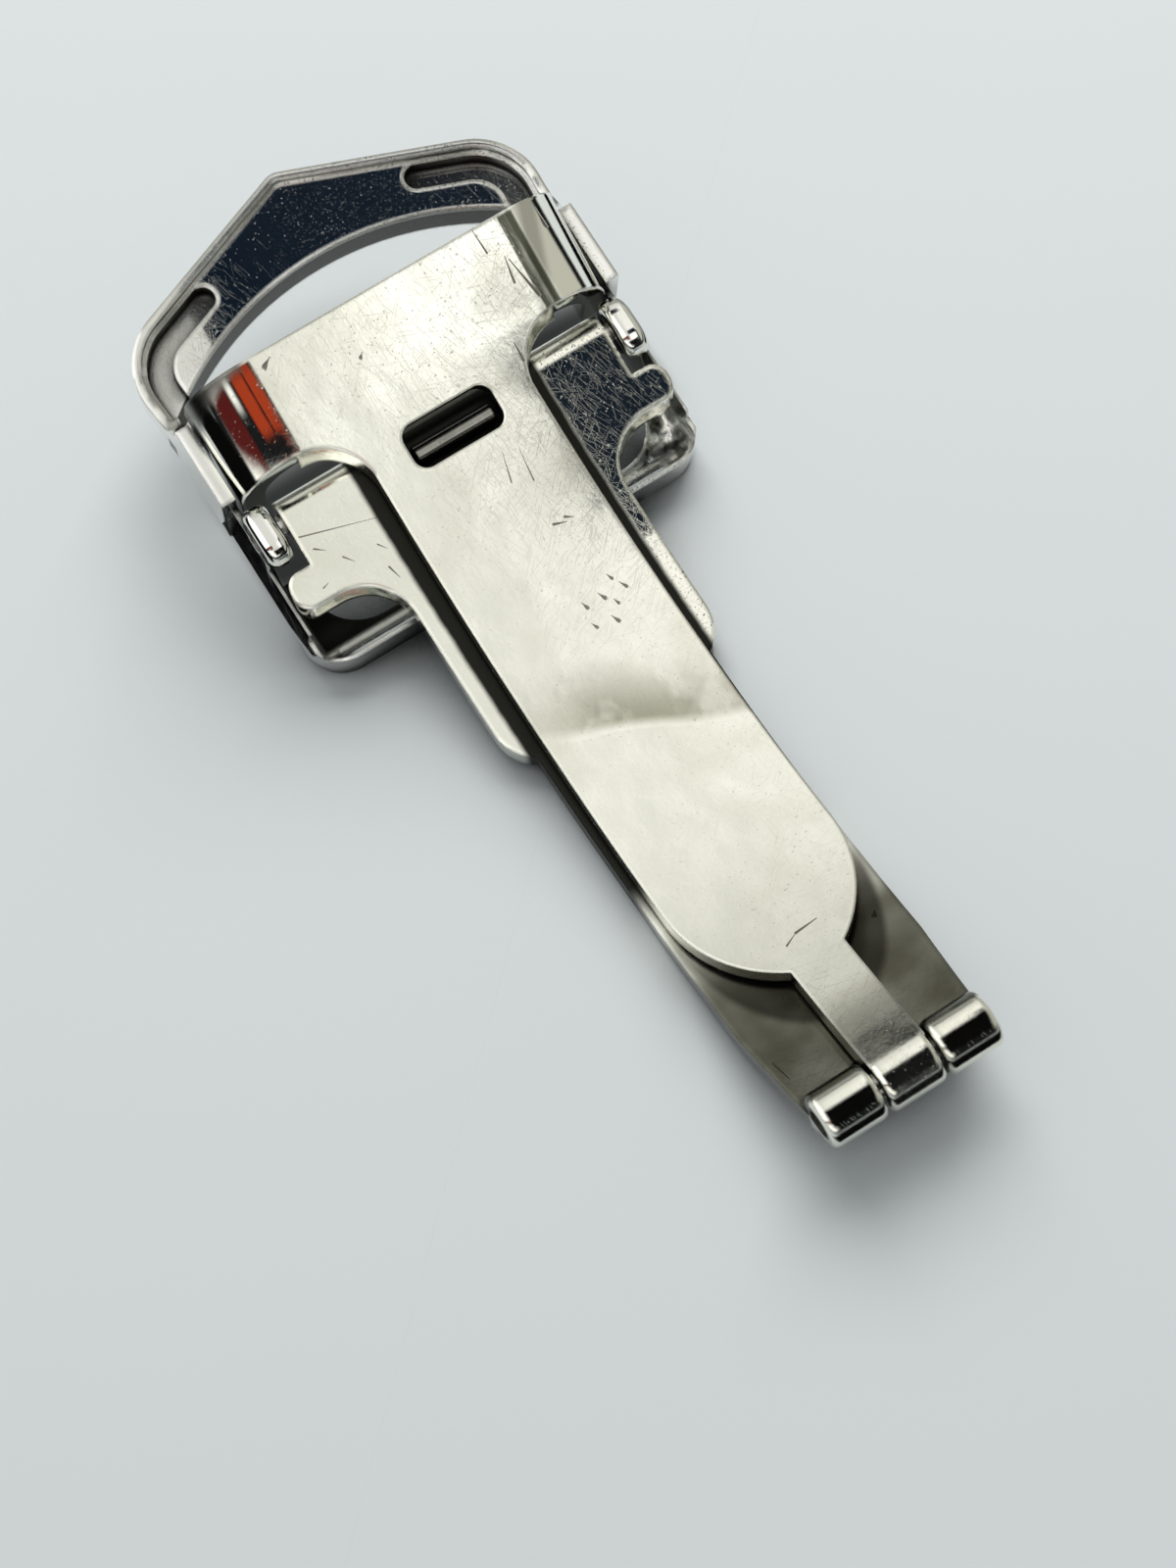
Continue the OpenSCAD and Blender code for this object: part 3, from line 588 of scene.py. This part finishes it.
# %% Finishes on the parts
DRAWN_PARTS = ("hinge_pin", "frame_pin", "strap_post", "spring_bar_tube", "spring_bar_tip_left",
               "spring_bar_tip_right", "spring_bar_coil")
finish_of = {"inner_blade": inner_finish, "outer_blade": outer_finish, "catch": catch_finish,
             "cover_frame": frame_finish}
finish_of.update({part: pin_finish for part in DRAWN_PARTS})
for part, finish in finish_of.items():
    mesh = parts[part].data
    mesh.materials.clear()
    mesh.materials.append(finish)
print("finished", len(finish_of), "parts")

# %% [markdown]
# Inside the tube of the spring bar is a coil that pushes both tips out. A coil is a small round section carried along
# a helix, so Geometry Nodes build it: a spiral curve, turned to lie along the bar, and a circle swept along it.

# %% Node tree of a coil
STEPS_PER_TURN = 20
WIRE_SIDES = 10
COIL_INPUTS = {"Length": "Float", "Turns": "Float", "Coil radius": "Float", "Wire radius": "Float",
               "Start": "Vector", "Steel": "Material"}


def coil_tree(name):
    tree = bpy.data.node_groups.new(name, "GeometryNodeTree")
    for label, kind in COIL_INPUTS.items():
        tree.interface.new_socket(label, in_out="INPUT", socket_type="NodeSocket" + kind)
    tree.interface.new_socket("Geometry", in_out="OUTPUT", socket_type="NodeSocketGeometry")
    given, made = tree.nodes.new("NodeGroupInput"), tree.nodes.new("NodeGroupOutput")
    kinds = ("CurveSpiral", "Transform", "CurvePrimitiveCircle", "CurveToMesh", "RealizeInstances", "SetMaterial")
    spiral, lay, ring, sweep, real, paint = [tree.nodes.new("GeometryNode" + kind) for kind in kinds]
    spiral.inputs["Resolution"].default_value = STEPS_PER_TURN
    lay.inputs["Rotation"].default_value = (0, math.radians(90), 0)
    ring.inputs["Resolution"].default_value = WIRE_SIDES
    sweep.inputs["Fill Caps"].default_value = True
    joins = [
        (given, "Length", spiral, "Height"),
        (given, "Turns", spiral, "Rotations"),
        (given, "Coil radius", spiral, "Start Radius"),
        (given, "Coil radius", spiral, "End Radius"),
        (spiral, "Curve", lay, "Geometry"),
        (given, "Start", lay, "Translation"),
        (given, "Wire radius", ring, "Radius"),
        (lay, "Geometry", sweep, "Curve"),
        (ring, "Curve", sweep, "Profile Curve"),
        (sweep, "Mesh", real, "Geometry"),
        (real, "Geometry", paint, "Geometry"),
        (given, "Steel", paint, "Material"),
        (paint, "Geometry", made, "Geometry"),
    ]
    for source, output, target, socket in joins:
        tree.links.new(source.outputs[output], target.inputs[socket])
    return tree


wound_wire = coil_tree("wound_wire")
print("the tree of the coil has", len(wound_wire.nodes), "nodes")

# %% [markdown]
# Each end of the real coil follows its own tip, so it is made as two halves that meet in the middle. The tree runs
# on an empty mesh, and its result is kept as a plain one.

# %% Coil of the spring bar
BAR_Y, BAR_Z = 14.277, 7.363
HALF_TURNS = 7.0
COIL_RADIUS, WIRE_RADIUS = 0.36 * MM, 0.085 * MM


def baked_from_tree(name, tree, values):
    seed = put_in_scene(name + "_seed", bpy.data.meshes.new(name))
    modifier = seed.modifiers.new("coil", "NODES")
    modifier.node_group = tree
    for item in tree.interface.items_tree:
        if item.in_out == "INPUT":
            modifier[item.identifier] = values[item.name]
    bpy.context.view_layer.update()
    mesh = bpy.data.meshes.new_from_object(seed.evaluated_get(bpy.context.evaluated_depsgraph_get()))
    bpy.data.objects.remove(seed)
    return put_in_scene(name, mesh)


def smoothed(mesh):
    mesh.polygons.foreach_set("use_smooth", [True] * len(mesh.polygons))


low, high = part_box("spring_bar_coil")
half_coil = (high[0] - low[0]) / 2
halves = []
for name, start, tip in (("coil_half_left", -half_coil, "left_tip_in"), ("coil_half_right", 0.0, "right_tip_in")):
    values = {"Length": half_coil, "Turns": HALF_TURNS, "Coil radius": COIL_RADIUS, "Wire radius": WIRE_RADIUS}
    values.update({"Start": (start, BAR_Y * MM, BAR_Z * MM), "Steel": pin_finish})
    half = baked_from_tree(name, wound_wire, values)
    smoothed(half.data)
    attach(half, "inner")
    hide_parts("spring_bar_coil")
    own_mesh(half)
    halves.append(half)
print("coil halves of", [len(half.data.polygons) for half in halves], "faces,", round(half_coil / MM, 2), "mm each")

# %% [markdown]
# The ears of the frame show as two smooth domes, a little longer than the round bosses of the packed model. Each gets
# a cap: a long round outline that shrinks towards both faces, so that it is soft like a cast and polished boss. The
# outlines stand in a row across the frame, and faces join each one to the next.

# %% Outlines of an ear cap
FRAME_LEAN = Matrix.Rotation(math.radians(FRAME_LEAN_DEG), 3, "X")
CAP_INNER_FACE, CAP_OUTER_FACE = 8.22, 9.38
CAP_EDGE = 0.42
CAP_RADIUS = 1.25
CAP_FLOOR = 0.50
PEAK_CENTRE, BAR_CENTRE = 0.05, -0.55
CORNERS_PER_OUTLINE = 21
EDGE_STEPS = 10


def cap_stations():
    """Distances from the middle of the clasp, each with how far the outline shrinks there, in mm."""
    turns = [math.radians(90 // EDGE_STEPS * step) for step in range(EDGE_STEPS + 1)]
    rounding = [(CAP_EDGE * (1 - math.cos(turn)), CAP_EDGE * (1 - math.sin(turn))) for turn in turns]
    stations = [(CAP_INNER_FACE + along, inset) for along, inset in rounding]
    return stations + [(CAP_OUTER_FACE - along, inset) for along, inset in reversed(rounding)]


def cap_outline(side, x, inset):
    """Two arcs over a flat floor. x across, y along the frame, z up, in mm about the pivot axis; given in metres."""
    reach = CAP_RADIUS - inset
    first = math.asin(CAP_FLOOR / reach)
    corners = []
    for step in range(CORNERS_PER_OUTLINE):
        turn = first + (math.pi - 2 * first) * step / (CORNERS_PER_OUTLINE - 1)
        centre = PEAK_CENTRE if turn < math.pi / 2 else BAR_CENTRE
        spot = Vector((side * x, centre + reach * math.cos(turn), reach * math.sin(turn)))
        corners.append(tuple((PIVOT + FRAME_LEAN @ spot) * MM))
    return corners


print("an ear cap has", len(cap_stations()), "outlines")

# %% [markdown]
# The two caps mirror each other, which turns the faces of one of them inside out, so Blender turns them all outwards.

# %% Caps on the ears


def ear_cap(name, side):
    outlines = [cap_outline(side, x, inset) for x, inset in cap_stations()]
    corners = [corner for outline in outlines for corner in outline]
    rows = [range(start, start + CORNERS_PER_OUTLINE) for start in range(0, len(corners), CORNERS_PER_OUTLINE)]
    faces = []
    for row, following in zip(rows, rows[1:]):
        for step in range(CORNERS_PER_OUTLINE):
            after = (step + 1) % CORNERS_PER_OUTLINE
            faces.append((row[step], row[after], following[after], following[step]))
    faces += [tuple(rows[0]), tuple(rows[-1])]
    mesh = bpy.data.meshes.new(name)
    mesh.from_pydata(corners, [], faces)
    shell = bmesh.new()
    shell.from_mesh(mesh)
    bmesh.ops.recalc_face_normals(shell, faces=shell.faces)
    shell.to_mesh(mesh)
    shell.free()
    smoothed(mesh)
    mesh.materials.append(cap_finish)
    cap = put_in_scene(name, mesh)
    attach(cap, "frame")
    return cap


cap_finish = worn_steel(
    "ear_polished", COOL_STEEL, GREASE, polish=0.05, scuff=0.05, dent_mm=0.01, peel_mm=0.0006, pits=0.3, edge_mm=0.02)
caps = [ear_cap("ear_cap_left", -1), ear_cap("ear_cap_right", 1)]
print("ear caps of", [len(cap.data.polygons) for cap in caps], "faces")

# %% [markdown]
# The table is plain and pale. Its own colour makes the pale background, so no lamp has to be strong. Where the clasp
# shuts it in it darkens a little more, as a real table does under polished metal that throws no light down. Under the
# head the photograph is nearly black, so a soft dark patch is painted there as well.

# %% Table
TABLE_COLOUR = (0.66, 0.70, 0.705, 1)
TABLE_CLOUDS = tuple(0.97 * c for c in TABLE_COLOUR[:3]) + (1,)
TABLE_SHADE = (0.01, 0.01, 0.01, 1)
TABLE_HALF_WIDTH = 3.0
SHADE_REACH_MM = 8


def flat_sheet(name, centre, right, up):
    """right and up reach from the centre to the middles of two sides."""
    centre, right, up = Vector(centre), Vector(right), Vector(up)
    corners = [centre - right - up, centre + right - up, centre + right + up, centre - right + up]
    mesh = bpy.data.meshes.new(name)
    mesh.from_pydata(corners, [], [(0, 1, 2, 3)])
    return put_in_scene(name, mesh)


def table_paint():
    finish = Finish("table_paint")
    tint = finish.mixed(finish.noise(0.02, detail=2.0), TABLE_COLOUR, TABLE_CLOUDS)
    shut_in = finish.open_share(SHADE_REACH_MM).ramp(0.15, 0.55, 0.94, 0.0)
    x, y, _ = finish.parted(finish.place)
    under_head = between(x, -8.6, 9.8, 1.3) * between(y, 11.5, 15.2, 3.0) * 0.93
    tint = finish.mixed(shut_in.larger(under_head), tint, TABLE_SHADE)
    finish.shown(finish.add("BsdfDiffuse", {}, {"Color": tint}))
    return finish.material


table = flat_sheet("table_top", (0, 0, 0), (TABLE_HALF_WIDTH, 0, 0), (0, TABLE_HALF_WIDTH, 0))
table.data.materials.append(table_paint())
print("table reaches", table.dimensions.x, "m")

# %% [markdown]
# Steel shows the room. This room is a pale sky with dark sides. Low down it is nearly black all round, far off it is
# taupe, to the right there is a grey wall behind an olive post, and on the side of the camera someone's warm hand
# glows orange and dark red beside a bright slit. Those sides draw the lines on the pins, bends and rims. Each is one
# sum on the direction that a reflection takes: x to the right, y away from the camera, z up, all between -1 and 1.

# %% Colours of the room
SKY = (1.10, 1.09, 1.04, 1)
DIM_SKY = (0.60, 0.61, 0.56, 1)
BRIGHT_SIDE = (1.45, 1.45, 1.40, 1)
TAUPE = (0.10, 0.095, 0.078, 1)
NEAR_BLACK = (0.010, 0.011, 0.012, 1)
OLIVE = (0.095, 0.10, 0.075, 1)
GREY_SIDE = (0.56, 0.555, 0.49, 1)
ORANGE = (0.42, 0.052, 0.017, 1)
DARK_RED = (0.095, 0.013, 0.012, 1)


def band(signal, low, high, soft):
    """Like between, but the soft sides lie half inside."""
    return signal.ramp(low - soft, low + soft) * signal.ramp(high - soft, high + soft, 1.0, 0.0)


def room_colour(room, x, y, z):
    hand_side = (y + z * 0.6).ramp(0.03, -0.03)
    # The sky: taupe low down at the far side, dimmer left of the middle and far off, brighter on the near right and
    # on the left.
    colour = room.mixed(y.ramp(0.1, 0.5) * z.ramp(0.44, 0.52, 1.0, 0.0), SKY, TAUPE)
    colour = room.mixed(x.ramp(0.11, 0.20, 0.55, 0.0) * z.ramp(0.3, 0.6), colour, DIM_SKY)
    colour = room.mixed(y.ramp(0.52, 0.78) * 0.55, colour, DIM_SKY)
    colour = room.mixed(y.ramp(-0.38, -0.56) * x.ramp(0.12, 0.17), colour, BRIGHT_SIDE)
    colour = room.mixed(x.ramp(-0.22, -0.34), colour, BRIGHT_SIDE)
    # The wall and the post on the right.
    colour = room.mixed(x.ramp(0.46, 0.56), colour, GREY_SIDE)
    colour = room.mixed(band(x, 0.30, 0.50, 0.03) * y.ramp(-0.30, -0.40), colour, OLIVE)
    # The near side, from the middle to the left: shade, with the orange of the hand in it, the slit, and dark red.
    shade_side = hand_side * z.ramp(0.44, 0.52) * (y + z * 0.72).ramp(-0.30, -0.16)
    colour = room.mixed(x.ramp(0.01, -0.02) * shade_side, colour, NEAR_BLACK)
    hand = hand_side * (y + z * 0.98).ramp(-0.02, 0.03) * z.ramp(0.40, 0.48)
    colour = room.mixed(band(x, -0.42, -0.11, 0.015) * hand * (y + z * 0.70).ramp(0.02, -0.02), colour, ORANGE)
    colour = room.mixed(band(x, -0.66, -0.52, 0.03) * (y + z * 0.79).ramp(0.02, -0.04), colour, SKY)
    far_hand = band(x, -0.99, -0.70, 0.02) * hand_side * (y + z * 0.98).ramp(-0.06, 0.0)
    colour = room.mixed(far_hand, colour, DARK_RED)
    # Black low on the near side, right of the middle, and all round near the table.
    below_camera = y.ramp(-0.35, -0.65) * z.ramp(0.42, 0.50, 1.0, 0.0) * band(x, 0.07, 0.34, 0.02)
    colour = room.mixed(below_camera, colour, NEAR_BLACK)
    return room.mixed(z.ramp(0.12, 0.20, 1.0, 0.0), colour, NEAR_BLACK)


print("the sky is", round(SKY[0] / TAUPE[0]), "times as bright as the taupe")

# %% [markdown]
# Only reflections see that room. The lens sees the table's colour beyond the table's edge, and soft light of one pale
# colour comes from all round.

# %% Room
AMBIENT_COLOUR = (0.97, 0.985, 1.0, 1)
AMBIENT_STRENGTH = 0.435
IS_CAMERA_RAY, IS_GLOSSY_RAY = 0, 3


def paint_room():
    world = bpy.data.worlds.new("studio")
    bpy.context.scene.world = world
    world.use_nodes = True
    room = Board(world.node_tree)
    direction = room.add("TexCoord", output=0)
    colour = room_colour(room, *room.parted(direction))
    seen = room.add("Background", {}, {"Color": colour})
    around = room.add("Background", {}, {"Color": AMBIENT_COLOUR, "Strength": AMBIENT_STRENGTH})
    behind = room.add("Background", {}, {"Color": TABLE_COLOUR})
    glossy = room.add("LightPath", output=IS_GLOSSY_RAY)
    lens = room.add("LightPath", output=IS_CAMERA_RAY)
    mixed = room.add("MixShader", {}, {0: glossy, 1: around, 2: seen})
    mixed = room.add("MixShader", {}, {0: lens, 1: mixed, 2: behind})
    room.shown(mixed, "OutputWorld")
    return len(world.node_tree.nodes)


print("the room has", paint_room(), "nodes")

# %% [markdown]
# One window lamp gives the soft shadow. Small dark cards stand close by, as in product photography, and give single
# parts their own reflection: flags turn the arch, the far wing and the knuckles dark, kerbs darken the side walls of
# the frame, and mats lie on the table for what looks down. Only reflections see them: no lens ray, shadow or soft
# light meets them.

# %% Lamp and cards
INK = (0.008, 0.014, 0.024, 1)
BLACK = (0.003, 0.003, 0.003, 1)
WINDOW_PLACE = (0.13, 0.19, 0.28)
WINDOW_SIZE = (0.34, 0.30)
WINDOW_WATTS = 1.26
WINDOW_COLOUR = (1.0, 0.995, 0.97)
# Each card's name, its centre, half its width and half its height as vectors, in metres, and its colour.
CARDS = [
    ("arch_flag", (0.0060, 0.0225, 0.030), (0.0095, 0, 0), (0, 0.0055, 0), INK),
    ("wing_flag", (0.0240, -0.0140, 0.062), (0.0083, 0, 0), (0, 0.0095, 0), INK),
    ("left_kerb", (-0.0210, 0.0150, 0.005), (0, 0.0160, 0), (0, 0, 0.0045), BLACK),
    ("right_kerb", (0.0210, 0.0150, 0.0025), (0, 0.0160, 0), (0, 0, 0.0020), BLACK),
    ("left_mat", (-0.0112, 0.0095, 0.0002), (0.0011, 0, 0), (0, 0.0058, 0), BLACK),
    ("hinge_flag", (0.0050, -0.0480, 0.028), (0.0170, 0, 0), (0, 0.0265, 0), BLACK),
    ("hinge_mat", (0.0050, -0.0560, 0.0003), (0.0170, 0, 0), (0, 0.0270, 0), BLACK),
]


def hang_lamp(name, place, size, watts, colour):
    """A rectangular lamp that shines on the model's origin."""
    light = bpy.data.lights.new(name, "AREA")
    light.shape = "RECTANGLE"
    light.size, light.size_y = size
    light.energy = watts
    light.color = colour
    lamp = put_in_scene(name, light)
    lamp.location = place
    lamp.rotation_euler = (-Vector(place)).to_track_quat("-Z", "Y").to_euler()
    lamp.visible_glossy = False


def stand_card(name, centre, right, up, colour):
    card = flat_sheet(name, centre, right, up)
    paint = bpy.data.materials.new(name)
    paint.use_nodes = True
    board = Board(paint.node_tree)
    board.shown(board.add("Emission", {}, {"Color": colour, "Strength": 1.0}))
    card.data.materials.append(paint)
    card.visible_camera = card.visible_shadow = card.visible_diffuse = False


hang_lamp("window_light", WINDOW_PLACE, WINDOW_SIZE, WINDOW_WATTS, WINDOW_COLOUR)
for card in CARDS:
    stand_card(*card)
print("one lamp and", len(CARDS), "cards:", [card[0] for card in CARDS])

# %% Finish
bpy.context.scene.view_settings.view_transform = "Standard"
